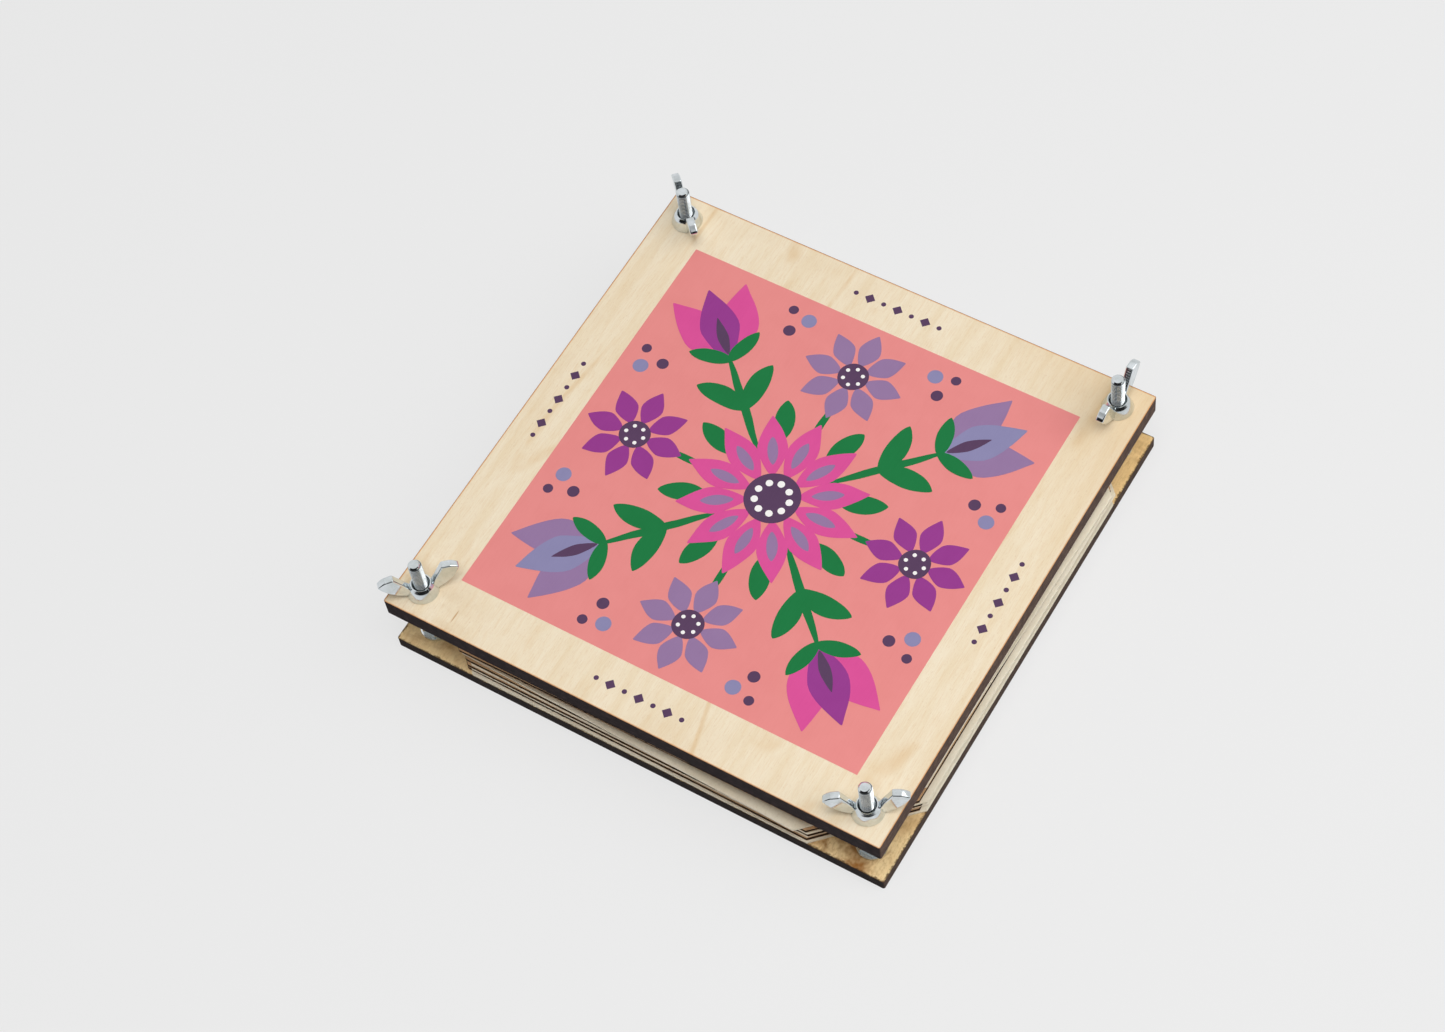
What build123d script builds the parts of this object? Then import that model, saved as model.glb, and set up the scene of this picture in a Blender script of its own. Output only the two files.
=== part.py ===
from build123d import *
import math
import os

os.makedirs("parts", exist_ok=True)

# A flower press: two square plywood boards squeeze a stack of blotting sheets and corrugated cards.
# Millimetres, +Z up, origin at the centre of the bottom board's underside, -Y is the front.

# Boards
board_side = 160.0
board_corner_radius = 0.6
bottom_board_thickness = 4.0
top_board_thickness = 6.5

# Bolts, M4 with countersunk heads let into the underside
bolt_inset = 8.2
bolt_diameter = 4.0
bolt_stick_out = 14.4
bolt_tip_chamfer = 0.5
head_overhang = 2.0
head_rim = 0.25
head_sink = 0.1
recess_length = 4.2
recess_width = 1.1
recess_depth = 1.5

# Clearances
hole_clearance = 0.25
head_clearance = 0.05
washer_clearance = 0.15
thread_clearance = 0.05
sheet_clearance = 2.3

# Washers and hexagon nuts that hold the bolts to the bottom board
washer_ring = 2.35
washer_thickness = 0.8
hex_nut_wall = 1.45
hex_nut_height = 3.2
hex_nut_chamfer_angle = 30.0

# Wing nuts
wing_span = 23.5
wing_height = 10.7
wing_top_width = 2.4
wing_thickness = 2.4
wing_top_slope = 0.3
wing_tip_drop = 2.1
wing_tip_width = 2.35
wing_tip_bulge = 0.2
wing_belly = 1.0
wing_foot = 0.9
wing_round = 0.5
wing_root_height = 3.6
hub_height = 4.2
hub_mouth_chamfer = 0.65
hub_rim = 0.3
hub_shoulder = 0.65
hub_band_slant = 1.05
hub_band_height = 3.15
hub_foot_round = 0.3

# Blotting sheets and corrugated cards
blotter_margin = 1.0
blotter_thickness = 0.8
card_margin = 1.75
card_thickness = 1.6
liner_thickness = 0.25
medium_thickness = 0.2
flute_pitch = 3.3
flute_land = 0.5

corners = {
    "front_left": (-1, -1),
    "front_right": (1, -1),
    "back_right": (1, 1),
    "back_left": (-1, 1),
}

# The way each wing nut happens to point, in degrees from +X
wing_turn = {
    "front_left": 46.0,
    "front_right": 31.0,
    "back_right": 90.0,
    "back_left": 136.0,
}

# The stack from the bottom up, as it lies: shift right, shift back, turn in degrees
stack = [
    ("blotter_1", 1.0, -0.9, 0.0),
    ("card_1", 0.2, -0.45, -0.2),
    ("blotter_2", 0.7, -0.2, 0.1),
    ("card_2", 0.3, -0.35, 0.15),
    ("blotter_3", 1.2, -0.2, -0.1),
    ("card_3", 0.3, -0.25, -0.2),
    ("blotter_4", -0.1, -0.7, -1.5),
    ("card_4", -0.5, 0.4, 0.4),
    ("blotter_5", -0.4, 0.9, 0.4),
    ("card_5", -0.9, 0.8, 0.9),
    ("blotter_6", -0.5, 0.7, 0.5),
    ("card_6", -1.0, -1.2, 0.7),
    ("blotter_7", -0.1, 0.4, 0.2),
]

# Sizes that follow from those above
bolt_radius = bolt_diameter / 2
head_radius = bolt_radius + head_overhang
bolt_reach = board_side / 2 - bolt_inset
hole_radius = bolt_radius + hole_clearance
washer_bore_radius = bolt_radius + washer_clearance
washer_radius = washer_bore_radius + washer_ring
nut_bore_radius = bolt_radius + thread_clearance
blotter_side = board_side - 2 * blotter_margin
card_side = board_side - 2 * card_margin
cut_line_reach = math.sqrt(2) * bolt_reach - washer_radius - sheet_clearance


def is_card(name):
    return name.startswith("card")


def thickness_of(name):
    return card_thickness if is_card(name) else blotter_thickness


top_board_seat = bottom_board_thickness + sum(thickness_of(sheet[0]) for sheet in stack)
wing_nut_seat = top_board_seat + top_board_thickness
hex_nut_seat = bottom_board_thickness + washer_thickness
bolt_length = wing_nut_seat + bolt_stick_out - head_sink


def bolt_place(corner, height=0.0):
    side, depth = corners[corner]
    return (side * bolt_reach, depth * bolt_reach, height)


def level_plane(corner, height):
    return Plane(origin=bolt_place(corner, height))


def upright_plane(corner, height, turn=0.0):
    # On a bolt's axis: its X points away from the axis, its Y points up
    angle = math.radians(turn)
    return Plane(
        origin=bolt_place(corner, height),
        x_dir=(math.cos(angle), math.sin(angle), 0),
        z_dir=(math.sin(angle), -math.cos(angle), 0),
    )


def bolt_axis(corner):
    return Axis(bolt_place(corner), (0, 0, 1))


def save(builder, name):
    builder.part.label = name
    export_step(builder.part, f"parts/{name}.step")


# Bottom board, with countersinks that take the bolts' heads
with BuildPart() as bottom_board:
    with BuildSketch():
        RectangleRounded(board_side, board_side, board_corner_radius)
    extrude(amount=bottom_board_thickness)
    with Locations(bottom_board.faces().sort_by(Axis.Z)[0]):
        with GridLocations(2 * bolt_reach, 2 * bolt_reach, 2, 2):
            CounterSinkHole(
                radius=hole_radius,
                counter_sink_radius=head_radius + head_rim + head_sink + head_clearance,
                counter_sink_angle=90,
            )
save(bottom_board, "bottom_board")

# Top board, free to slide on the bolts
with BuildPart() as top_board:
    with BuildSketch(Plane.XY.offset(top_board_seat)):
        RectangleRounded(board_side, board_side, board_corner_radius)
        with GridLocations(2 * bolt_reach, 2 * bolt_reach, 2, 2):
            Circle(hole_radius, mode=Mode.SUBTRACT)
    extrude(amount=top_board_thickness)
save(top_board, "top_board")


def make_bolt(corner):
    with BuildPart() as bolt:
        with BuildSketch(upright_plane(corner, head_sink)):
            with BuildLine():
                Polyline(
                    (0, 0),
                    (head_radius, 0),
                    (head_radius, head_rim),
                    (bolt_radius, head_rim + head_radius - bolt_radius),
                    (bolt_radius, bolt_length - bolt_tip_chamfer),
                    (bolt_radius - bolt_tip_chamfer, bolt_length),
                    (0, bolt_length),
                    close=True,
                )
            make_face()
        revolve(axis=bolt_axis(corner))
        with BuildSketch(level_plane(corner, head_sink)):
            Rectangle(recess_length, recess_width)
            Rectangle(recess_width, recess_length)
        extrude(amount=recess_depth, mode=Mode.SUBTRACT)
    save(bolt, f"bolt_{corner}")


def make_washer(corner):
    with BuildPart() as washer:
        with BuildSketch(level_plane(corner, bottom_board_thickness)):
            Circle(washer_radius)
            Circle(washer_bore_radius, mode=Mode.SUBTRACT)
        extrude(amount=washer_thickness)
    save(washer, f"washer_{corner}")


def make_hex_nut(corner):
    flat_radius = nut_bore_radius + hex_nut_wall
    point_radius = flat_radius / math.cos(math.radians(30))
    chamfer_height = (point_radius - flat_radius) * math.tan(math.radians(hex_nut_chamfer_angle))
    with BuildPart() as hex_nut:
        with BuildSketch(level_plane(corner, hex_nut_seat)):
            RegularPolygon(radius=point_radius, side_count=6)
            Circle(nut_bore_radius, mode=Mode.SUBTRACT)
        extrude(amount=hex_nut_height)
        with BuildSketch(upright_plane(corner, hex_nut_seat)):
            with BuildLine():
                Polyline(
                    (0, 0),
                    (flat_radius, 0),
                    (point_radius, chamfer_height),
                    (point_radius, hex_nut_height - chamfer_height),
                    (flat_radius, hex_nut_height),
                    (0, hex_nut_height),
                    close=True,
                )
            make_face()
        revolve(axis=bolt_axis(corner), mode=Mode.INTERSECT)
    save(hex_nut, f"hex_nut_{corner}")


def make_wing_nut(corner):
    mouth_radius = nut_bore_radius + hub_mouth_chamfer
    rim_radius = mouth_radius + hub_rim
    shoulder_radius = rim_radius + hub_shoulder
    hub_radius = shoulder_radius + hub_band_slant
    root_bottom = (rim_radius, wing_foot)
    root_top = (rim_radius, wing_root_height)
    outer_top = (wing_span / 2 - wing_tip_width, wing_height - wing_top_slope)
    inner_top = (wing_span / 2 - wing_tip_width - wing_top_width, wing_height)
    tip = (wing_span / 2, wing_height - wing_tip_drop)
    foot = (hub_radius - hub_foot_round, wing_foot)
    plane = upright_plane(corner, wing_nut_seat, wing_turn[corner])
    with BuildPart() as wing_nut:
        with BuildSketch(plane):
            with BuildLine():
                Polyline(foot, root_bottom, root_top, inner_top, outer_top)
                SagittaArc(outer_top, tip, wing_tip_bulge)
                SagittaArc(tip, foot, wing_belly)
            make_face()
            mirror(about=Plane.YZ)
        extrude(amount=wing_thickness / 2, both=True)
        fillet(wing_nut.edges(), min(wing_round, 0.4 * wing_thickness))
        with BuildSketch(plane):
            with BuildLine():
                Line((nut_bore_radius, 0), (hub_radius - hub_foot_round, 0))
                RadiusArc((hub_radius - hub_foot_round, 0), (hub_radius, hub_foot_round), -hub_foot_round)
                Polyline(
                    (hub_radius, hub_foot_round),
                    (shoulder_radius, hub_band_height),
                    (rim_radius, hub_height),
                    (mouth_radius, hub_height),
                    (nut_bore_radius, hub_height - hub_mouth_chamfer),
                    (nut_bore_radius, 0),
                )
            make_face()
        revolve(axis=bolt_axis(corner))
    save(wing_nut, f"wing_nut_{corner}")


for corner in corners:
    make_bolt(corner)
    make_washer(corner)
    make_hex_nut(corner)
    make_wing_nut(corner)


def draw_sheet_outline(side):
    # A square whose corners are cut along lines that clear the bolts
    with BuildSketch(mode=Mode.PRIVATE) as outline:
        Rectangle(side, side)
        chamfer(outline.vertices(), side - math.sqrt(2) * cut_line_reach)
    return outline.sketch


# One blotting sheet, flat at the origin
with BuildPart() as flat_blotter:
    add(draw_sheet_outline(blotter_side))
    extrude(amount=blotter_thickness)

# One corrugated card, flat at the origin: two liners with a fluted sheet between them.
# The flutes run from front to back, so that they are open at the front edge.
void_height = card_thickness - 2 * liner_thickness - medium_thickness
void_width = flute_pitch - flute_land
flank_angle = math.degrees(math.atan2(void_height, (void_width - flute_land) / 2))
flute_count = int(card_side // flute_pitch)
with BuildPart() as flat_card:
    with BuildSketch(Plane.XZ):
        with Locations((0, card_thickness / 2)):
            Rectangle(card_side, card_thickness)
        with Locations((0, liner_thickness + void_height / 2)):
            with GridLocations(flute_pitch, 0, flute_count - 1, 1):
                Trapezoid(void_width, void_height, flank_angle, mode=Mode.SUBTRACT)
        with Locations((0, card_thickness - liner_thickness - void_height / 2)):
            with GridLocations(flute_pitch, 0, flute_count, 1):
                Trapezoid(void_width, void_height, flank_angle, rotation=180, mode=Mode.SUBTRACT)
    extrude(amount=card_side / 2, both=True)
    add(draw_sheet_outline(card_side))
    extrude(amount=card_thickness, mode=Mode.INTERSECT)

# The stack, each sheet where it lies
sheet_seat = bottom_board_thickness
for name, right, back, turn in stack:
    angle = math.radians(turn)
    place = Plane(origin=(right, back, sheet_seat), x_dir=(math.cos(angle), math.sin(angle), 0))
    with BuildPart(place) as sheet:
        add(flat_card.part if is_card(name) else flat_blotter.part)
    save(sheet, name)
    sheet_seat += thickness_of(name)
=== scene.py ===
import math
import bmesh
import bpy
from mathutils import Matrix, Vector, noise


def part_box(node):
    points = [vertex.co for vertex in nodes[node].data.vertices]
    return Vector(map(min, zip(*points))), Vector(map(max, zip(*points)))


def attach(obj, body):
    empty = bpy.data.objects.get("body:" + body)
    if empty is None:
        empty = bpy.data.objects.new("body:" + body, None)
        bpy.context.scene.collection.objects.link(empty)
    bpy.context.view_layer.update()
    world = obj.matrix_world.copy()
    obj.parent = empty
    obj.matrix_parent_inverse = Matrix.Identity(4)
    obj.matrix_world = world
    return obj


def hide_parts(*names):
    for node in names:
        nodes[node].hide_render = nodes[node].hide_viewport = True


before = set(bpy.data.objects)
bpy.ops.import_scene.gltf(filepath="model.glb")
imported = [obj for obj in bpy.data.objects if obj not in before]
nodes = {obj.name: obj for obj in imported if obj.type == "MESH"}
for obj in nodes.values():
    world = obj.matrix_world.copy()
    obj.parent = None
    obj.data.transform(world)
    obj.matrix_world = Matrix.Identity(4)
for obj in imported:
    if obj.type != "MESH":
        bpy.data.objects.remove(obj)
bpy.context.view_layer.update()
mm = 0.001
noise.seed_set(7)  # the print wobbles the same way each run
corners = {"front_left": (-1, -1), "front_right": (1, -1), "back_right": (1, 1), "back_left": (-1, 1)}
print("frame loaded:", len(nodes), "nodes")


def paint(red, green, blue):  # screen colour to linear
    def linear(c):
        c = c / 255
        return c / 12.92 if c <= 0.04045 else ((c + 0.055) / 1.055) ** 2.4
    return (linear(red), linear(green), linear(blue), 1.0)


class Wire:  # one socket of a finish; sums on it add Math nodes
    def __init__(self, finish, socket):
        self.finish = finish
        self.socket = socket

    def sums(self, operation, first, second=0.0):
        return self.finish.node("ShaderNodeMath", {"operation": operation}, {0: first, 1: second})

    def __add__(self, other):
        return self.sums("ADD", self, other)

    def __radd__(self, other):
        return self.sums("ADD", other, self)

    def __sub__(self, other):
        return self.sums("SUBTRACT", self, other)

    def __rsub__(self, other):
        return self.sums("SUBTRACT", other, self)

    def __mul__(self, other):
        return self.sums("MULTIPLY", self, other)

    def __rmul__(self, other):
        return self.sums("MULTIPLY", other, self)

    def __pow__(self, other):
        return self.sums("POWER", self, other)

    def __rpow__(self, other):
        return self.sums("POWER", other, self)

    def __abs__(self):
        return self.sums("ABSOLUTE", self)

    def above(self, other):
        return self.sums("MAXIMUM", self, other)

    def below(self, other):
        return self.sums("MINIMUM", self, other)

    def fract(self):
        return self.sums("FRACT", self)


class Finish:  # a material, or the sky, and the tools to wire it
    def __init__(self, name, sky=False):
        self.material = bpy.data.worlds.new(name) if sky else bpy.data.materials.new(name)
        self.material.use_nodes = True
        self.tree = self.material.node_tree
        self.shader = self.tree.nodes["Background" if sky else "Principled BSDF"]

    def feed(self, socket, value):  # a wire, or a fixed value
        if isinstance(value, Wire):
            self.tree.links.new(value.socket, socket)
        else:
            socket.default_value = value

    def node(self, kind, settings, inputs, outputs=0):
        made = self.tree.nodes.new(kind)
        for key, value in settings.items():
            setattr(made, key, value)
        for key, value in inputs.items():
            self.feed(made.inputs[key], value)
        if isinstance(outputs, tuple):
            return [Wire(self, made.outputs[o]) for o in outputs]
        return Wire(self, made.outputs[outputs])

    def place(self):
        return self.node("ShaderNodeTexCoord", {}, {}, "Object")

    def split(self, vector):
        return self.node("ShaderNodeSeparateXYZ", {}, {0: vector}, (0, 1, 2))

    def stretch(self, vector, factors):
        return self.node("ShaderNodeVectorMath", {"operation": "MULTIPLY"}, {0: vector, 1: factors})

    def cloud(self, vector, scale, detail=2.0, rough=0.5, twist=0.0):
        return self.node("ShaderNodeTexNoise", {}, {"Vector": vector, "Scale": scale, "Detail": detail,
                                                    "Roughness": rough, "Distortion": twist})

    def fade(self, value, low, high):  # 0 at low, 1 at high, smooth between
        return self.node("ShaderNodeMapRange", {"interpolation_type": "SMOOTHSTEP"},
                         {"Value": value, "From Min": low, "From Max": high})

    def blend(self, share, first, second):
        return self.node("ShaderNodeMix", {"data_type": "RGBA"}, {0: share, 6: first, 7: second}, 2)

    def seen(self):  # 1 for what the camera, metal and glass see
        rays = ("Is Camera Ray", "Is Glossy Ray", "Is Transmission Ray")
        eye, mirrored, through = self.node("ShaderNodeLightPath", {}, {}, rays)
        return (eye + mirrored + through).below(1.0)

    def link(self, socket, value):
        self.feed(self.shader.inputs[socket], value)

    def bump(self, height, strength, distance):
        self.link("Normal", self.node("ShaderNodeBump", {}, {"Height": height, "Strength": strength,
                                                             "Distance": distance}))


# birch plywood: pale grain on the faces, laser-charred plies on the edges
topBoard = {
    "node": "top_board", "half": 80 * mm, "round": 0.6 * mm, "plies": 5, "seed": 0.0,
    "pale": paint(244, 230, 204), "straw": paint(234, 213, 177), "tan": paint(222, 190, 142),
    "line": paint(224, 188, 138), "fleck": paint(190, 142, 92), "gritAmount": 0.05,
    "knot": (-59.2 * mm, -74.6 * mm), "knotSize": (0.28 * mm, 2.7 * mm),
    # smoke and burns from the cutting
    "stain": paint(205, 170, 120), "stainAmount": 0.12, "blotchScale": 34,
    "spot": (-70 * mm, -76 * mm), "spotAmount": 0.2,
    "scorch": paint(212, 138, 68), "rimWidth": 0.55 * mm, "nicks": 0.2 * mm,
    "charDark": paint(29, 22, 25), "charBrown": paint(64, 51, 53),
    # the side walls' char is painted lighter: painted light falling on the sides
    "litSideDark": paint(70, 54, 48), "litSideBrown": paint(118, 95, 82),
}
bottomBoard = {
    "node": "bottom_board", "half": 80 * mm, "round": 0.6 * mm, "plies": 3, "seed": 0.37,
    "pale": paint(248, 223, 173), "straw": paint(240, 208, 153), "tan": paint(250, 205, 130),
    "line": paint(222, 184, 126), "fleck": paint(166, 118, 62), "gritAmount": 0.26,
    "knot": (31 * mm, -77.5 * mm), "knotSize": (0.4 * mm, 1.6 * mm),
    "stain": paint(150, 100, 50), "stainAmount": 0.4, "blotchScale": 95,
    "spot": (62 * mm, -76 * mm), "spotAmount": 0.6,
    "scorch": paint(84, 58, 36), "rimWidth": 0.6 * mm, "nicks": 2.2 * mm,
    "charDark": paint(29, 23, 23), "charBrown": paint(54, 43, 40),
    # the side walls' char is painted lighter: painted light falling on the sides
    "litSideDark": paint(62, 48, 42), "litSideBrown": paint(100, 80, 68),
}
birch = {
    # stretch of each cloud, its scale, detail, roughness and twist, and where it starts to show and shows in full
    "clouds": {
        "broad": ((1, 0.07, 0.3), (300, 3, 0.55, 0.3), (0.3, 0.8)),
        "fine": ((1, 0.06, 0.3), (3600, 3, 0.6), (0.42, 0.75)),
        "dash": ((1, 0.16, 0.3), (5600, 1, 0.5), (0.64, 0.74)),
        "patchy": ((1, 1, 1), (34, 3, 0.6), (0.45, 0.62)),
        "grit": ((1, 0.5, 0.3), (1500, 3, 0.7), (0.42, 0.75)),
        "along": ((1, 1, 0.4), (600, 3, 0.6), (0.2, 0.65)),
        "streak": ((0.12, 0.12, 1), (2200, 2, 0.6), (0.4, 0.75)),
    },
    "ringStretch": (1, 0.2, 0.0), "ringCloud": (15, 1, 0.4, 0.5), "rings": 9, "ringLine": (0.01, 0.11),
    "strawShare": 0.7, "tanShare": 0.55, "tanReach": (90 * mm, 165 * mm), "fineShare": 0.3, "growthShare": 0.5,
    "dashShare": 0.22, "knotShare": 0.75, "knotEdge": (0.1, 1.0),
    "spotReach": (8 * mm, 32 * mm), "spotGrit": 0.4, "spotSmoke": 0.1,
    "blotchCloud": (3, 0.65, 0.6), "blotchShows": (0.48, 0.7), "smokeReach": (1 * mm, 22 * mm),
    "nickCloud": (800, 3, 0.7), "rimStart": 0.1 * mm, "rimShare": 0.85,
    "wallEdge": (0.03 * mm, 0.10 * mm), "cornerEdge": 0.3 * mm, "glueLine": (0.6, 0.95), "glueShare": 0.8,
    "brownLeast": 0.2, "rough": 0.52, "roughGrain": 0.16, "roughWall": 0.3,
    "bumpStrength": 0.35, "bumpDepth": 0.06 * mm, "fineBump": 0.4, "dashBump": 0.2, "sheen": 0.2,
}


def plywood(board):
    f = Finish(board["node"] + "Birch")
    low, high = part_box(board["node"])
    here = f.place()
    shift = (board["seed"], board["seed"] * 2, 0)
    at = f.node("ShaderNodeVectorMath", {"operation": "ADD"}, {0: here, 1: shift})
    x, y, z = f.split(here)
    # distance inward from the outline: 0 on the edge walls
    qx = abs(x) - (board["half"] - board["round"])
    qy = abs(y) - (board["half"] - board["round"])
    outX, outY = qx.above(0.0), qy.above(0.0)
    inset = board["round"] - (outX * outX + outY * outY) ** 0.5 - qx.above(qy).below(0.0)
    wall = 1 - f.fade(inset, *birch["wallEdge"])

    # face grain runs front to back: short fine streaks, a few soft growth lines
    raw, shown = {}, {}
    for name, (stretch, cloud, shows) in birch["clouds"].items():
        raw[name] = f.cloud(f.stretch(at, stretch), *cloud)
        shown[name] = f.fade(raw[name], *shows)
    ring = f.cloud(f.stretch(at, birch["ringStretch"]), *birch["ringCloud"])
    growth = 1 - f.fade(abs((ring * birch["rings"]).fract() - 0.5), *birch["ringLine"])
    spotX, spotY = x - board["spot"][0], y - board["spot"][1]
    near = 1 - f.fade((spotX * spotX + spotY * spotY) ** 0.5, *birch["spotReach"])
    knotX = (x - board["knot"][0]) * (1 / board["knotSize"][0])
    knotY = (y - board["knot"][1]) * (1 / board["knotSize"][1])
    knot = 1 - f.fade(knotX * knotX + knotY * knotY, *birch["knotEdge"])
    grit = board["gritAmount"] + near * board["spotAmount"] * birch["spotGrit"]
    face = f.blend(shown["broad"] * birch["strawShare"], board["pale"], board["straw"])
    face = f.blend(f.fade(x + y, *birch["tanReach"]) * birch["tanShare"], face, board["tan"])
    face = f.blend(shown["fine"] * birch["fineShare"], face, board["line"])
    face = f.blend(growth * shown["patchy"] * birch["growthShare"], face, board["line"])
    face = f.blend(shown["dash"] * birch["dashShare"], face, board["fleck"])
    face = f.blend(shown["grit"] * grit, face, board["fleck"])
    face = f.blend(knot * birch["knotShare"], face, board["fleck"])

    # smoke from the cutting: blotches near the edges, a thin scorched rim
    blotch = f.cloud(at, board["blotchScale"], *birch["blotchCloud"]) + near * birch["spotSmoke"]
    smoke = f.fade(blotch, *birch["blotchShows"]) * (1 - f.fade(inset, *birch["smokeReach"]))
    face = f.blend(smoke * (board["stainAmount"] + near * board["spotAmount"]), face, board["stain"])
    nick = (f.cloud(at, *birch["nickCloud"]) - 0.5) * board["nicks"]
    rim = 1 - f.fade(inset + nick, birch["rimStart"], board["rimWidth"])
    face = f.blend(rim * birch["rimShare"], face, board["scorch"])

    # edge walls: char near black at the front and back, and painted light on the side walls, which are coloured
    # browner and lighter
    frontBackWalls = f.fade(qy - qx, -birch["cornerEdge"], birch["cornerEdge"])
    ply = (z - low.z) * (board["plies"] / (high.z - low.z))
    glue = f.fade(abs(ply.fract() - 0.5) * 2, *birch["glueLine"])
    brown = (shown["streak"] * (1 - birch["brownLeast"]) + birch["brownLeast"]) * shown["along"]
    endChar = f.blend(brown, board["charDark"], board["charBrown"])
    # painted light: the side walls take the lighter colours, with dark glue lines between the plies
    litSideChar = f.blend(brown * (1 - glue * birch["glueShare"]), board["litSideDark"], board["litSideBrown"])
    f.link("Base Color", f.blend(wall, face, f.blend(frontBackWalls, litSideChar, endChar)))
    f.link("Roughness", birch["rough"] + raw["fine"] * birch["roughGrain"] + wall * birch["roughWall"])
    height = raw["fine"] * birch["fineBump"] + raw["dash"] * birch["dashBump"]
    f.bump(height + (raw["along"] + raw["streak"]) * wall, birch["bumpStrength"], birch["bumpDepth"])
    f.link("Specular IOR Level", birch["sheen"])
    return f.material


for board in (topBoard, bottomBoard):
    boardMesh = nodes[board["node"]].data
    boardMesh.materials.clear()
    boardMesh.materials.append(plywood(board))
print("boards finished")


def addObject(name, data):
    made = bpy.data.objects.new(name, data)
    bpy.context.scene.collection.objects.link(made)
    return made


def addMesh(name, bm, finish):
    mesh = bpy.data.meshes.new(name)
    bm.to_mesh(mesh)
    bm.free()
    mesh.materials.append(finish)
    return addObject(name, mesh)


def newPiece(name, bm, finish, body, stands=()):
    piece = addMesh(name, bm, finish)
    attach(piece, body)
    if stands:
        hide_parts(*stands)
    return piece


def pour(part, whole):  # adds a finished shape to a larger one
    spare = bpy.data.meshes.new("spare")
    part.to_mesh(spare)
    part.free()
    whole.from_mesh(spare)
    bpy.data.meshes.remove(spare)


def trim(bm, place, way):  # cuts off what lies beyond a plane
    bmesh.ops.bisect_plane(bm, geom=bm.verts[:] + bm.edges[:] + bm.faces[:], dist=1e-7, plane_co=place,
                           plane_no=way, clear_outer=True)


def thicken(bm, thick):  # a flat shape gets its thickness, upwards
    made = bmesh.ops.extrude_face_region(bm, geom=bm.faces[:])["geom"]
    upper = [g for g in made if isinstance(g, bmesh.types.BMVert)]
    bmesh.ops.translate(bm, verts=upper, vec=(0, 0, thick))
    bmesh.ops.recalc_face_normals(bm, faces=bm.faces)


def turn(bm, degrees):
    bmesh.ops.rotate(bm, verts=bm.verts, cent=(0, 0, 0), matrix=Matrix.Rotation(math.radians(degrees), 3, "Z"))


def soften(bm, degrees):  # smooth shading, sharp past an angle
    for face in bm.faces:
        face.smooth = True
    for edge in bm.edges:
        edge.smooth = len(edge.link_faces) == 2 and edge.calc_face_angle() < math.radians(degrees)


def cadCopy(nodeName):
    bm = bmesh.new()
    bm.from_mesh(nodes[nodeName].data)
    bmesh.ops.remove_doubles(bm, verts=bm.verts, dist=0.0005 * mm)
    return bm


# bright zinc plating: mirror-like with faint haze, scuffs and a cool tint
plating = {
    "pale": paint(226, 232, 236), "grey": paint(206, 213, 214), "mottle": (260, 3, 0.6), "mottleTint": (0.3, 0.7),
    "worn": paint(176, 180, 178), "scuff": (4200, 3, 0.65), "scuffStretch": (1, 1, 0.2), "scuffTint": (0.62, 0.8),
    # the dark groove colour is painted shade in the thread's grooves, with some grime
    "wornShare": 0.35, "grooveShadeAndGrime": paint(72, 75, 78), "grooves": (0.02 * mm, 0.22 * mm), "grooveShadeAndGrimeShare": 0.85,
    "haze": 0.09, "threadHaze": 0.14, "mottleRough": (0.35, 0.75), "mottleHaze": 0.07,
    "scuffRough": (0.5, 0.8), "scuffHaze": 0.06, "bumpStrength": 0.02, "bumpDepth": 0.01 * mm,
}
# bolts: the countersunk heads keep their cross recess, the shanks are threaded up to a chamfered tip
bolt = {
    "reach": 71.8 * mm, "cut": 2.9 * mm, "tip": 40.1 * mm, "chamfer": 0.5 * mm, "crest": 1.99 * mm,
    "root": 1.6 * mm, "pitch": 0.7 * mm, "flanks": (0.34, 0.48, 0.82), "steps": 20, "spareTurns": 2,
    "shankSharp": 40, "headSharp": 30,
}


def zincPlate(name, haze, grooved=False):
    f = Finish(name)
    at = f.place()
    mottle = f.cloud(at, *plating["mottle"])
    scuff = f.cloud(f.stretch(at, plating["scuffStretch"]), *plating["scuff"])
    tint = f.blend(f.fade(mottle, *plating["mottleTint"]), plating["pale"], plating["grey"])
    tint = f.blend(f.fade(scuff, *plating["scuffTint"]) * plating["wornShare"], tint, plating["worn"])
    if grooved:  # painted shade, with some grime, darkens the thread's grooves, below the flat tip
        x, y, z = f.split(at)
        offX, offY = abs(x) - bolt["reach"], abs(y) - bolt["reach"]
        depth = bolt["crest"] - (offX * offX + offY * offY) ** 0.5
        below = 1 - f.fade(z, bolt["tip"] - bolt["chamfer"], bolt["tip"] - bolt["chamfer"] * 0.8)
        grooveShadeAndGrime = f.fade(depth, *plating["grooves"]) * below * plating["grooveShadeAndGrimeShare"]
        tint = f.blend(grooveShadeAndGrime, tint, plating["grooveShadeAndGrime"])
    f.link("Base Color", tint)
    mottleHaze = f.fade(mottle, *plating["mottleRough"]) * plating["mottleHaze"]
    f.link("Roughness", haze + mottleHaze + f.fade(scuff, *plating["scuffRough"]) * plating["scuffHaze"])
    f.bump(scuff, plating["bumpStrength"], plating["bumpDepth"])
    f.link("Metallic", 1.0)
    return f.material


zinc = zincPlate("zinc", plating["haze"])
threadZinc = zincPlate("threadZinc", plating["threadHaze"], True)


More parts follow.
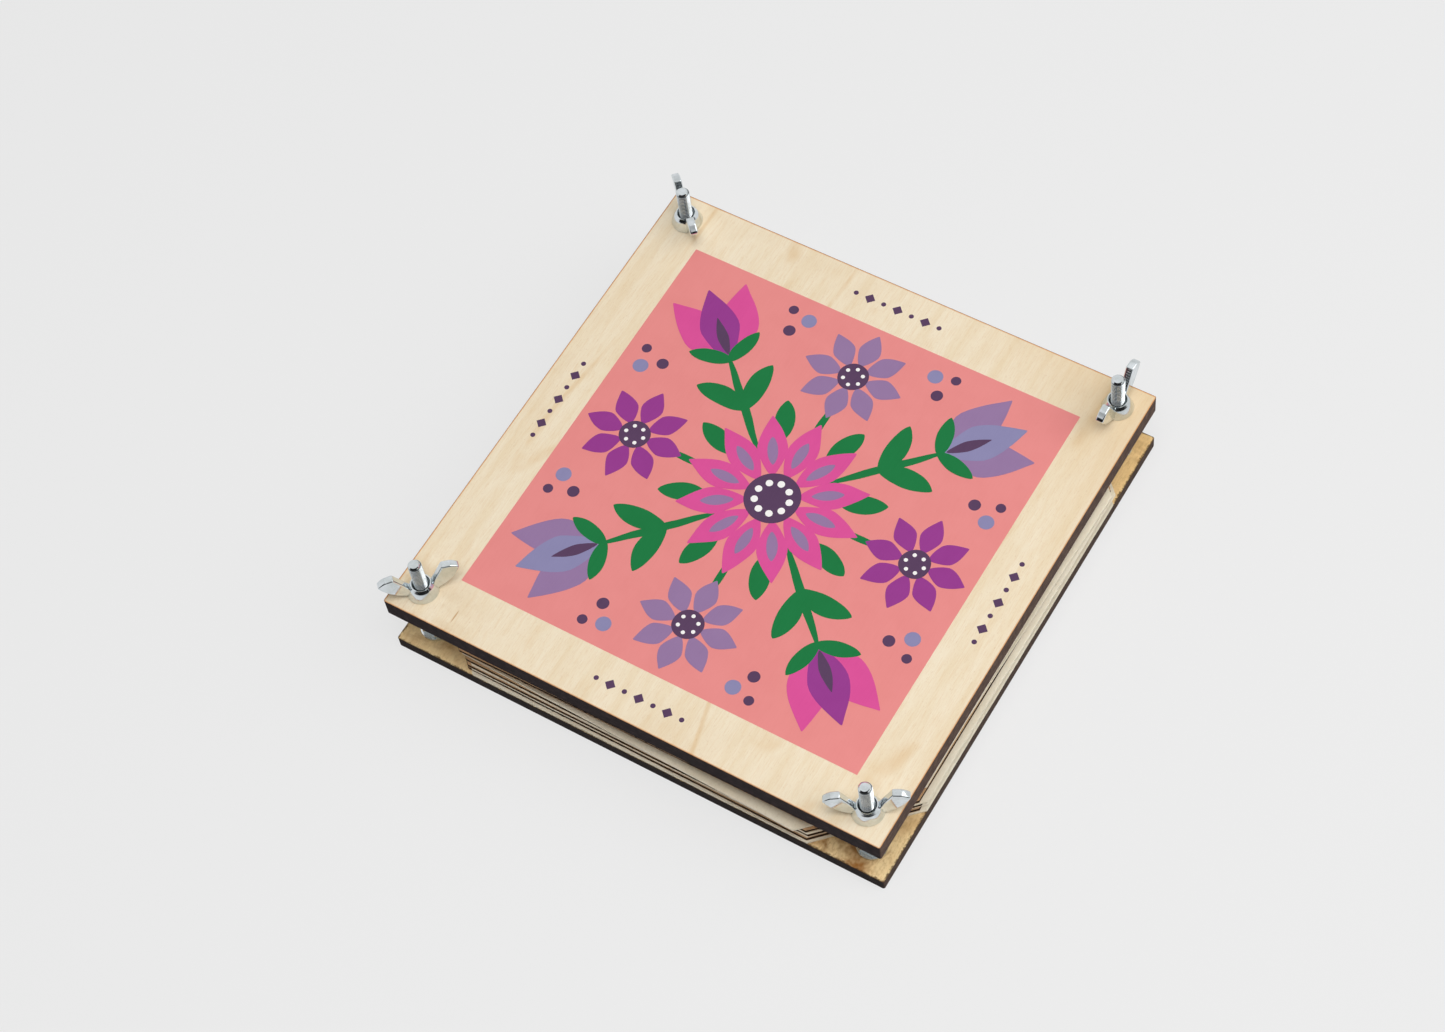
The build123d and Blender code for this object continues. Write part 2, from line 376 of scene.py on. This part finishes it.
def threadedShank(centre, low, high):
    bm = bmesh.new()
    pitch, steps, root, crest = bolt["pitch"], bolt["steps"], bolt["root"], bolt["crest"]
    turns = math.ceil((high - low) / pitch) + bolt["spareTurns"]
    rise, level, fall = bolt["flanks"]
    tooth = ((0.0, root), (rise, crest), (level, crest), (fall, root), (1.0, root))
    start = low - 1.5 * pitch
    line = [bm.verts.new((centre.x + r, centre.y, start + h * pitch)) for h, r in tooth]
    edges = [bm.edges.new(pair) for pair in zip(line, line[1:])]
    bmesh.ops.spin(bm, geom=line + edges, cent=centre, axis=(0, 0, 1), dvec=(0, 0, pitch / steps),
                   angle=2 * math.pi * turns, steps=turns * steps, use_merge=False)
    bmesh.ops.remove_doubles(bm, verts=bm.verts, dist=0.002 * mm)
    for height, way in ((low, -1), (high - bolt["chamfer"], 1)):
        trim(bm, (0, 0, height), (0, 0, way))
        rim = [e for e in bm.edges if e.is_boundary and all(abs(v.co.z - height) < 1e-6 for v in e.verts)]
        cap = bmesh.ops.contextual_create(bm, geom=rim)["faces"]
    # the upper cap grows into the chamfer
    top = bmesh.ops.extrude_face_region(bm, geom=cap)["geom"]
    bmesh.ops.delete(bm, geom=cap, context="FACES_ONLY")
    tipVerts = [g for g in top if isinstance(g, bmesh.types.BMVert)]
    bmesh.ops.translate(bm, verts=tipVerts, vec=(0, 0, bolt["chamfer"]))
    share = (crest - bolt["chamfer"]) / crest
    bmesh.ops.scale(bm, verts=tipVerts, vec=(share, share, 1), space=Matrix.Translation(-centre))
    bmesh.ops.recalc_face_normals(bm, faces=bm.faces)
    return bm


for corner, (sx, sy) in corners.items():
    shank = threadedShank(Vector((sx * bolt["reach"], sy * bolt["reach"], 0)), bolt["cut"], bolt["tip"])
    soften(shank, bolt["shankSharp"])
    newPiece("threadedShank_" + corner, shank, threadZinc, "base")
    head = cadCopy("bolt_" + corner)
    trim(head, (0, 0, bolt["cut"]), (0, 0, 1))
    bmesh.ops.contextual_create(head, geom=[e for e in head.edges if e.is_boundary])
    soften(head, bolt["headSharp"])
    newPiece("boltHead_" + corner, head, zinc, "base", ["bolt_" + corner])
print("bolts threaded")

# washers, hexagon nuts and wing nuts keep their solid shapes, with smooth shading up to these angles
plated = {"washer": 30, "hex_nut": 20, "wing_nut": 32}
flatWeight = 70  # how strongly the large flat faces set the shading
for kind, sharp in plated.items():
    for corner in corners:
        nodeName = kind + "_" + corner
        bm = cadCopy(nodeName)
        soften(bm, sharp)
        body = nodeName if kind == "wing_nut" else "base"
        piece = newPiece(nodeName + "_plated", bm, zinc, body, [nodeName])
        even = piece.modifiers.new("evenNormals", "WEIGHTED_NORMAL")
        even.keep_sharp = True
        even.weight = flatWeight
print("nuts and washers plated")

# blotting paper, brown card, and a near-black paint inside the card that is painted shade of its deep flutes
paper = {
    "pulp": (900, 3, 0.6), "speckShows": (0.62, 0.72), "fibreStretch": (1, 0.25, 2.5), "fibreCloud": (3, 0.65, 0.8),
    "fibreShows": (0.35, 0.75), "fibreShare": 0.4, "toneStretch": (1, 1, 30), "tone": (45, 2, 0.5),
    "toneShows": (0.3, 0.7), "toneShare": 0.6, "rough": 0.82, "roughFibre": 0.15, "pulpBump": 0.5,
    "bumpStrength": 0.4, "bumpDepth": 0.05 * mm, "sheen": 0.2,
}
stocks = {  # light, dark and speck colours, how much the specks show, scale of the fibres
    "blottingPaper": (paint(245, 238, 220), paint(228, 217, 193), paint(200, 184, 154), 0.25, 2400),
    # the near-black stock below is painted shade for the deep flutes inside the card, not the paper's own colour
    "shadedFluting": (paint(58, 44, 33), paint(44, 33, 25), paint(34, 26, 19), 0.4, 1700),
    "kraftCard": (paint(206, 170, 132), paint(178, 138, 100), paint(132, 96, 64), 0.4, 1700),
}


def paperStock(name, light, dark, speck, speckAmount, fibreScale):
    f = Finish(name)
    at = f.place()
    pulp = f.cloud(at, *paper["pulp"])
    fibres = f.cloud(f.stretch(at, paper["fibreStretch"]), fibreScale, *paper["fibreCloud"])
    tone = f.cloud(f.stretch(at, paper["toneStretch"]), *paper["tone"])
    fibreDark = f.fade(fibres, *paper["fibreShows"]) * paper["fibreShare"]
    look = f.blend(f.fade(tone, *paper["toneShows"]) * paper["toneShare"] + fibreDark, light, dark)
    look = f.blend(f.fade(pulp, *paper["speckShows"]) * speckAmount, look, speck)
    f.link("Base Color", look)
    f.link("Roughness", paper["rough"] + fibres * paper["roughFibre"])
    f.bump(fibres + pulp * paper["pulpBump"], paper["bumpStrength"], paper["bumpDepth"])
    f.link("Specular IOR Level", paper["sheen"])
    return f.material


stockFinish = {name: paperStock(name, *stock) for name, stock in stocks.items()}
sheets = {
    "blotterSide": 158 * mm, "cardSide": 156.5 * mm, "cutReach": 94.74 * mm, "cells": 40, "clear": 0.02 * mm,
    "blotter": 0.66 * mm, "liner": 0.24 * mm, "medium": 0.16 * mm, "sharp": 30,
    "flute": 3.3 * mm, "fluteSteps": 10, "fluteClear": 0.01 * mm,
    "wander": {"size": 0.16 * mm, "scale": 90, "seed": 7.3},  # of the knife-cut edges
    "swell": {"size": 0.035 * mm, "scale": 28, "seed": 3.1},  # of the blotting sheets
    # shift right, shift back, turn: the way each sheet lies
    "lay": {
        "blotter_1": (1.0, -0.9, 0.0), "card_1": (0.2, -0.95, -0.2), "blotter_2": (0.7, -0.2, 0.1),
        "card_2": (0.3, -0.95, 0.15), "blotter_3": (1.2, -0.2, -0.1), "card_3": (0.3, -0.85, -0.2),
        "blotter_4": (-0.1, -0.7, -1.5), "card_4": (-0.5, 0.4, 0.4), "blotter_5": (-0.4, 0.9, 0.4),
        "card_5": (-0.9, 0.8, 0.9), "blotter_6": (-0.5, 0.7, 0.5), "card_6": (-1.0, -1.2, 0.7),
        "blotter_7": (-0.1, 0.4, 0.2),
    },
}


def drift(place, how, seed):  # slow wander between -1 and 1
    return noise.noise(Vector((place.x * how["scale"], place.y * how["scale"], seed * how["seed"])))


def trimCorners(bm):
    for sx, sy in corners.values():
        way = Vector((sx, sy, 0)).normalized()
        trim(bm, way * sheets["cutReach"], way)


def flatSheet(side, low, thick, seed, swell):
    bm = bmesh.new()
    bmesh.ops.create_grid(bm, x_segments=sheets["cells"], y_segments=sheets["cells"], size=side / 2)
    trimCorners(bm)
    for v in [v for v in bm.verts if v.is_boundary]:
        inward = 0.5 + 0.5 * drift(v.co, sheets["wander"], seed)
        v.co *= 1 - inward * sheets["wander"]["size"] / v.co.length
    for v in bm.verts:
        v.co.z = low + swell * (1 + drift(v.co, sheets["swell"], seed))
    thicken(bm, thick)
    return bm


def flutedSheet(low, high, thick):
    bm = bmesh.new()
    count = int(sheets["cardSide"] / sheets["flute"])
    bmesh.ops.create_grid(bm, x_segments=count * sheets["fluteSteps"], y_segments=1, size=sheets["cardSide"] / 2)
    trimCorners(bm)
    middle, swing = (low + high - thick) / 2, (high - low - thick) / 2 - sheets["fluteClear"]
    for v in bm.verts:
        v.co.z = middle + swing * math.sin(2 * math.pi * v.co.x / sheets["flute"])
    thicken(bm, thick)
    return bm


def cardLayers(thick, seed):
    side, liner, clear = sheets["cardSide"], sheets["liner"], sheets["clear"]
    upper = thick - liner - clear
    layers = (flatSheet(side, clear, liner, seed, 0.0), flatSheet(side, upper, liner, seed + 0.5, 0.0),
              flutedSheet(clear + liner, upper, sheets["medium"]))
    card = bmesh.new()
    for layer, inward in zip(layers, (1, -1, 0)):  # the faces inside get painted shade: the near-black colour of the deep flutes
        for face in layer.faces:
            face.material_index = 1 if face.normal.z * inward > 0.5 or inward == 0 else 0
        pour(layer, card)
    return card


for seed, (name, (right, back, degrees)) in enumerate(sheets["lay"].items()):
    low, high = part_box(name)
    isCard = name.startswith("card")
    if isCard:
        bm = cardLayers(high.z - low.z, seed)
    else:
        bm = flatSheet(sheets["blotterSide"], sheets["clear"], sheets["blotter"], seed, sheets["swell"]["size"])
    soften(bm, sheets["sharp"])
    turn(bm, degrees)
    bmesh.ops.translate(bm, verts=bm.verts, vec=(right * mm, back * mm, low.z))
    stock, slot = ("kraftCard", "kraft_card") if isCard else ("blottingPaper", "blotting_paper")
    sheet = newPiece(name + "_sheet", bm, stockFinish[stock], name, [name])
    if isCard:
        # the second slot is painted shade for the flutes inside the card
        sheet.data.materials.append(stockFinish["shadedFluting"])
print("stack laid:", len(sheets["lay"]), "sheets")

# print on the top board: flat ink shapes, a folk tile of daisies, tulips and leaves
inks = {  # colour and its deeper tone
    "salmon": (paint(234, 143, 140), paint(230, 138, 135)),
    "pink": (paint(221, 82, 153), paint(215, 77, 148)),
    "lilac": (paint(150, 120, 162), paint(146, 116, 158)),
    "violet": (paint(151, 57, 142), paint(146, 53, 137)),
    "plum": (paint(87, 60, 92), paint(82, 56, 87)),
    "green": (paint(14, 117, 60), paint(11, 112, 56)),
    "periwinkle": (paint(141, 137, 177), paint(136, 132, 172)),
    "white": (paint(250, 248, 246), paint(246, 243, 240)),
}
inkFilm = {
    "mottle": (130, 2, 0.5), "mottleShows": (0.3, 0.7), "mottleShare": 0.5, "grainStretch": (1, 0.05, 0.3),
    "grain": (2600, 2, 0.6), "grainShows": (0.4, 0.8), "grainShare": 0.35, "rough": 0.5, "roughGrain": 0.15,
    "bumpStrength": 0.15, "bumpDepth": 0.03 * mm, "sheen": 0.3,
}


def ink(name, colour, deep):
    f = Finish(name)
    at = f.place()
    mottle = f.cloud(at, *inkFilm["mottle"])
    grain = f.cloud(f.stretch(at, inkFilm["grainStretch"]), *inkFilm["grain"])
    grainDeep = f.fade(grain, *inkFilm["grainShows"]) * inkFilm["grainShare"]
    share = f.fade(mottle, *inkFilm["mottleShows"]) * inkFilm["mottleShare"] + grainDeep
    f.link("Base Color", f.blend(share, colour, deep))
    f.link("Roughness", inkFilm["rough"] + grain * inkFilm["roughGrain"])
    f.bump(grain, inkFilm["bumpStrength"], inkFilm["bumpDepth"])
    f.link("Specular IOR Level", inkFilm["sheen"])
    return f.material


artwork = {
    "panel": 128 * mm, "film": 0.02 * mm, "layer": 0.012 * mm, "thick": 0.6, "stagger": 0.0015 * mm, "staggers": 6,
    "segments": 44, "wobble": 0.22 * mm, "wobbleScale": 0.16, "wobbleSeed": 1.7,
}
plates = {name: bmesh.new() for name in inks}
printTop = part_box("top_board")[1].z
shapesLaid = []


def layShape(plate, outline, place, degrees, layer, wobble=1.0):
    # outline moves the unit circle's rim points; the shape is then turned, placed and given its film of ink
    bm = bmesh.new()
    bmesh.ops.create_circle(bm, cap_ends=True, segments=artwork["segments"], radius=1.0)
    number = len(shapesLaid)
    shapesLaid.append(plate)
    scale, sway = artwork["wobbleScale"], artwork["wobble"] * wobble
    for v in bm.verts:
        px, py = outline(v.co.x, v.co.y)
        aside = noise.noise_vector(Vector((px * scale, py * scale, number * artwork["wobbleSeed"])))
        v.co = Vector((px * mm + aside.x * sway, py * mm + aside.y * sway, 0))
    turn(bm, degrees)
    stagger = (number % artwork["staggers"]) * artwork["stagger"]  # no two neighbours lie in one plane
    base = printTop + artwork["film"] + layer * artwork["layer"] + stagger
    bmesh.ops.translate(bm, verts=bm.verts, vec=(place[0] * mm, place[1] * mm, base))
    thicken(bm, artwork["layer"] * artwork["thick"])
    pour(bm, plates[plate])


def petal(length, width, start=0.0, tip=0.75):  # pointed at its far end, along +Y
    def outline(cx, cy):
        t = (cy + 1) / 2
        return cx * width / 2 * (1 - tip * t ** 3) * (0.55 + 0.45 * min(1.0, 2.2 * t)), start + t * length
    return outline


def leaf(length, width, start=0.0, bow=0.0):  # pointed at both ends, bowed to one side
    def outline(cx, cy):
        t = (cy + 1) / 2
        return abs(cx) ** 1.5 * (1 if cx > 0 else -1) * width / 2 + bow * (1 - cy * cy), start + t * length
    return outline


def disc(radius):
    return lambda cx, cy: (cx * radius, cy * radius)


def lozenge(width):
    def outline(cx, cy):
        size = abs(cx) + abs(cy)
        return cx / size * width / 2, cy / size * width / 2
    return outline


def aim(distance, degrees, aside=0.0):  # 0 degrees is the back, turning left; aside is to the left of that
    ahead, left = math.radians(degrees), math.radians(degrees + 90)
    return (-distance * math.sin(ahead) - aside * math.sin(left),
            distance * math.cos(ahead) + aside * math.cos(left))


# lengths in millimetres; a stem or leaf is length, width and where it starts
tulips = {"distance": 49, "height": 27, "width": 14, "spread": 24, "sepalSpread": 58, "stem": (38, 2.6, 14),
          "leaf": (17, 6.4, 0.0), "leafDistance": 31, "leafSpread": 42, "leafBow": 0.9}
sideDaisy = {"distance": 46, "petals": 8, "inner": 4.2, "length": 11.5, "width": 7.2, "eye": 4.6, "dots": 6,
             "stem": (16, 2.2, 20)}
middleDaisy = {"petals": 12, "inner": 7.6, "length": 20, "width": 9.6, "eye": 8.2, "dots": 9,
               "ringLeaves": 8, "ringLeaf": (14, 6.0, 19), "heart": (9.5, 3.2, 11.0)}
dotRing, dotSize = 0.62, 0.13  # shares of a daisy's eye
berries = ((57, 21, 2.3), (51.5, 24.5, 1.8), (58.5, 27, 1.5))  # distance out, distance aside, radius
margin = {"distance": 72.2, "step": 4.6, "reach": 3, "lozenge": 3.4, "dot": 0.75}


def daisy(place, shape, plate, degrees=0.0):
    for i in range(shape["petals"]):
        outline = petal(shape["length"], shape["width"], shape["inner"])
        layShape(plate, outline, place, degrees + 360 / shape["petals"] * i, 3)
    layShape("plum", disc(shape["eye"]), place, 0, 4)
    for i in range(shape["dots"]):
        dx, dy = aim(shape["eye"] * dotRing, degrees + 360 / shape["dots"] * i)
        layShape("white", disc(shape["eye"] * dotSize), (place[0] + dx, place[1] + dy), 0, 5, 0.3)


def tulip(degrees, plate, heart):
    place, height, width = aim(tulips["distance"], degrees), tulips["height"], tulips["width"]
    for side in (-1, 1):
        layShape(plate, petal(height, width, 0.0, 0.82), place, degrees + side * tulips["spread"], 3)
    layShape(heart, petal(height * 0.94, width * 0.92, 0.5, 0.8), place, degrees, 4)
    layShape("plum", petal(height * 0.5, width * 0.26, 2.0, 0.7), place, degrees, 5)
    for side in (-1, 1):
        sepal = leaf(height * 0.5, width * 0.34, -1.0)
        layShape("green", sepal, place, degrees + side * tulips["sepalSpread"], 5)


# panel
panel = plates["salmon"]
bmesh.ops.create_cube(panel, size=1.0)
bmesh.ops.scale(panel, verts=panel.verts, vec=(artwork["panel"], artwork["panel"], artwork["film"] * 0.8))
bmesh.ops.translate(panel, verts=panel.verts, vec=(0, 0, printTop + artwork["film"] * 0.5))
# corner tulips on leafy stems
for i in range(4):
    degrees = 45 + 90 * i
    layShape("green", leaf(*tulips["stem"]), (0, 0), degrees, 1)
    for side in (-1, 1):
        stemLeaf = leaf(*tulips["leaf"], tulips["leafBow"] * side)
        layShape("green", stemLeaf, aim(tulips["leafDistance"], degrees), degrees + side * tulips["leafSpread"], 2)
    tulip(degrees, "lilac" if i % 2 else "pink", "periwinkle" if i % 2 else "violet")
# side daisies with berries
for i in range(4):
    degrees = 90 * i
    layShape("green", leaf(*sideDaisy["stem"]), (0, 0), degrees, 1)
    daisy(aim(sideDaisy["distance"], degrees), sideDaisy, "violet" if i % 2 else "lilac", degrees)
    for side in (-1, 1):
        for k, (far, aside, radius) in enumerate(berries):
            layShape("plum" if k else "periwinkle", disc(radius), aim(far, degrees, aside * side), 0, 2, 0.5)
# middle daisy over a ring of leaves
for i in range(middleDaisy["ringLeaves"]):
    layShape("green", leaf(*middleDaisy["ringLeaf"]), (0, 0), 360 / middleDaisy["ringLeaves"] * (i + 0.5), 1)
daisy((0, 0), middleDaisy, "pink")
for i in range(middleDaisy["petals"]):
    layShape("lilac", leaf(*middleDaisy["heart"]), (0, 0), 360 / middleDaisy["petals"] * i, 4)
# small ornament in the middle of each margin
for i in range(4):
    for k in range(-margin["reach"], margin["reach"] + 1):
        shape = lozenge(margin["lozenge"]) if k % 2 == 0 else disc(margin["dot"])
        layShape("plum", shape, aim(margin["distance"], 90 * i, margin["step"] * k), 90 * i, -1, 0.25)
for name, plate in plates.items():
    newPiece("print_" + name, plate, ink(name + "Ink", *inks[name]), "top_board")
print("print laid:", len(shapesLaid), "shapes")

# studio: pale floor, soft key from the back right, fill from high at the front
studio = {
    "floor": paint(236, 236, 236), "floorHalf": 4.0, "floorRough": 0.9, "floorGlow": 0.8,
    "lamps": (  # name, place, size, power, whether the metal mirrors it
        ("keyRight", (1.0, 0.45, 0.85), 1.5, 10.5, True),
        ("topSoft", (-0.25, 0.35, 1.25), 1.6, 2.5, True),
        ("frontSoft", (0.22, -0.32, 1.3), 0.8, 9.5, False),
    ),
    "felt": paint(26, 26, 28), "feltRough": 0.95, "apronReach": 0.5, "wallReach": 1.4, "wallTop": 1.1,
    "wallStart": -127, "wallSweep": 150, "wallSteps": 24, "apronHeight": 0.001,
    "sky": 0.13, "skyWalls": 0.8, "skyCeiling": 0.46, "skyTurn": (0.5, 0.85),
    "cameraPlace": (0.282554, -0.362496, 0.775782), "cameraTurn": (30.913983, 5.338286, 30.941410),
    "lens": 77.627, "sensor": 36.0,
}
f = Finish("paleFloor")
f.link("Base Color", studio["floor"])
f.link("Roughness", studio["floorRough"])
f.link("Specular IOR Level", 0.0)
glow = f.node("ShaderNodeEmission", {}, {"Color": studio["floor"], "Strength": 1.0})
lit = Wire(f, f.shader.outputs[0])
mixed = f.node("ShaderNodeMixShader", {}, {0: f.seen() * studio["floorGlow"], 1: lit, 2: glow})
f.feed(f.tree.nodes["Material Output"].inputs["Surface"], mixed)
bm = bmesh.new()
bmesh.ops.create_grid(bm, x_segments=1, y_segments=1, size=studio["floorHalf"])
floor = addMesh("floor", bm, f.material)

for name, place, size, power, mirrored in studio["lamps"]:
    lamp = bpy.data.lights.new(name, "AREA")
    lamp.shape = "DISK"
    lamp.size = size
    lamp.energy = power
    lampObject = addObject(name, lamp)
    lampObject.location = place
    lampObject.rotation_euler = (-Vector(place)).to_track_quat("-Z", "Y").to_euler()
    lampObject.visible_glossy = mirrored

# a low dark wall and apron on the camera's side, seen only in the metal
f = Finish("blackFelt")
f.link("Base Color", studio["felt"])
f.link("Roughness", studio["feltRough"])
bm = bmesh.new()
start = math.radians(studio["wallStart"])
profile = ((studio["apronReach"], studio["apronHeight"]), (studio["wallReach"], studio["apronHeight"]),
           (studio["wallReach"], studio["wallTop"]))
post = [bm.verts.new((reach * math.cos(start), reach * math.sin(start), height)) for reach, height in profile]
postEdges = [bm.edges.new(pair) for pair in zip(post, post[1:])]
bmesh.ops.spin(bm, geom=post + postEdges, cent=(0, 0, 0), axis=(0, 0, 1), angle=math.radians(studio["wallSweep"]),
               steps=studio["wallSteps"], use_merge=False)
darkFelt = addMesh("darkFelt", bm, f.material)
darkFelt.visible_camera = darkFelt.visible_diffuse = darkFelt.visible_shadow = False

# the sky lights faintly, and metal mirrors it as pale walls under a dimmer ceiling
f = Finish("studio", sky=True)
f.link("Color", (1.0, 1.0, 1.0, 1.0))
height = f.split(f.node("ShaderNodeTexCoord", {}, {}, "Generated"))[2]
pale = studio["skyWalls"] + f.fade(height, *studio["skyTurn"]) * (studio["skyCeiling"] - studio["skyWalls"])
f.link("Strength", studio["sky"] + f.seen() * (pale - studio["sky"]))
bpy.context.scene.world = f.material

camera = bpy.data.cameras.new("camera")
camera.lens = studio["lens"]
camera.sensor_width = studio["sensor"]
camera.sensor_fit = "HORIZONTAL"
camera.clip_start = 0.01
cameraObject = addObject("camera", camera)
cameraObject.location = studio["cameraPlace"]
cameraObject.rotation_euler = [math.radians(a) for a in studio["cameraTurn"]]
bpy.context.scene.camera = cameraObject
bpy.context.scene.view_settings.view_transform = "Standard"
print("studio set")
